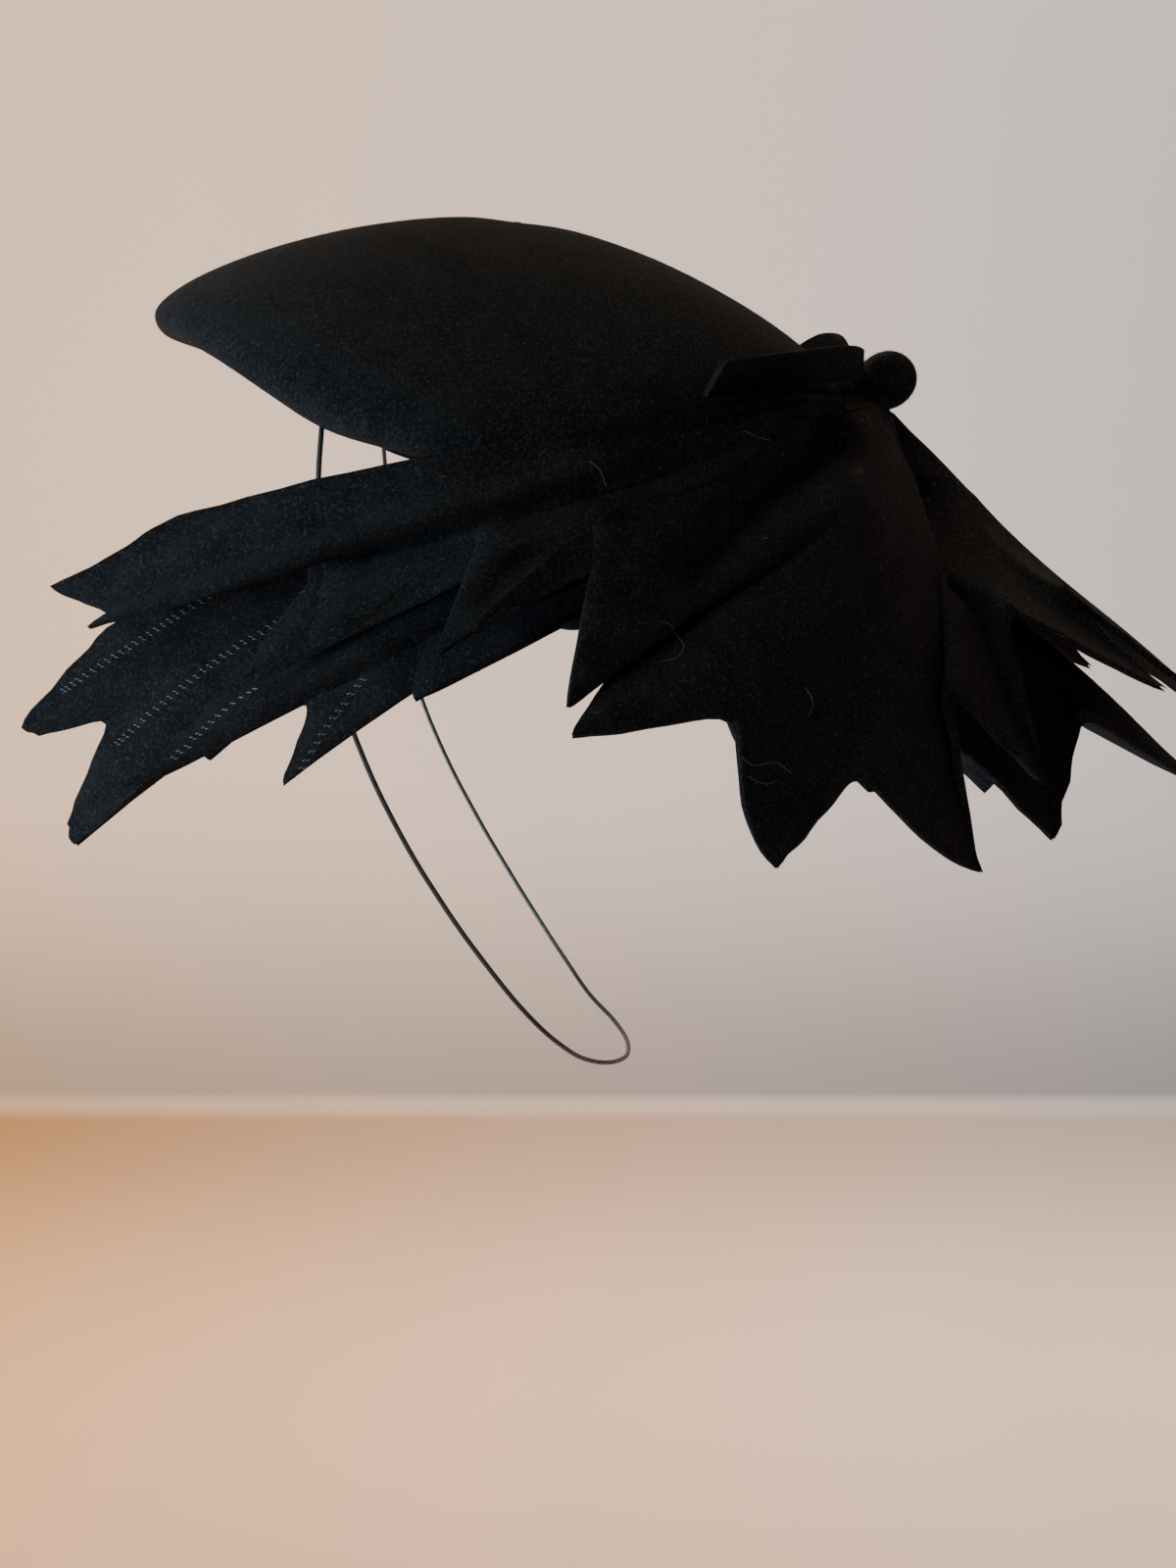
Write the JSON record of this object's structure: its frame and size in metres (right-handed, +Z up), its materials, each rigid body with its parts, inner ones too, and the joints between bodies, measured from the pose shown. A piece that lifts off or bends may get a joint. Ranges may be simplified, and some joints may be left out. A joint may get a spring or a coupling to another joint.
{
  "type": "tilt hat",
  "caption": "Black wool felt tilt hat with a shallow blocked crown, a layered brim of pointed leaves gathered at a front knot and swept back along the sides like wings, and a chin elastic.",
  "frame": {"origin": "the top of the crown's inside, where the hat sits on the head", "axes": "+Z up, the front of the hat at -Y, the wearer's right at -X"},
  "size_m": [0.2345, 0.2886, 0.2096],
  "materials": {
    "wool_felt": "matt brushed nap",
    "elastic_cord": "satin braid"
  },
  "bodies": {
    "root": {"crown": "wool_felt", "brim_upper_leaves": "wool_felt", "brim_lower_leaves": "wool_felt", "knot_wrap": "wool_felt", "knot_end_right": "wool_felt", "knot_end_left": "wool_felt", "chin_elastic": "elastic_cord"}
  },
  "joints": []
}
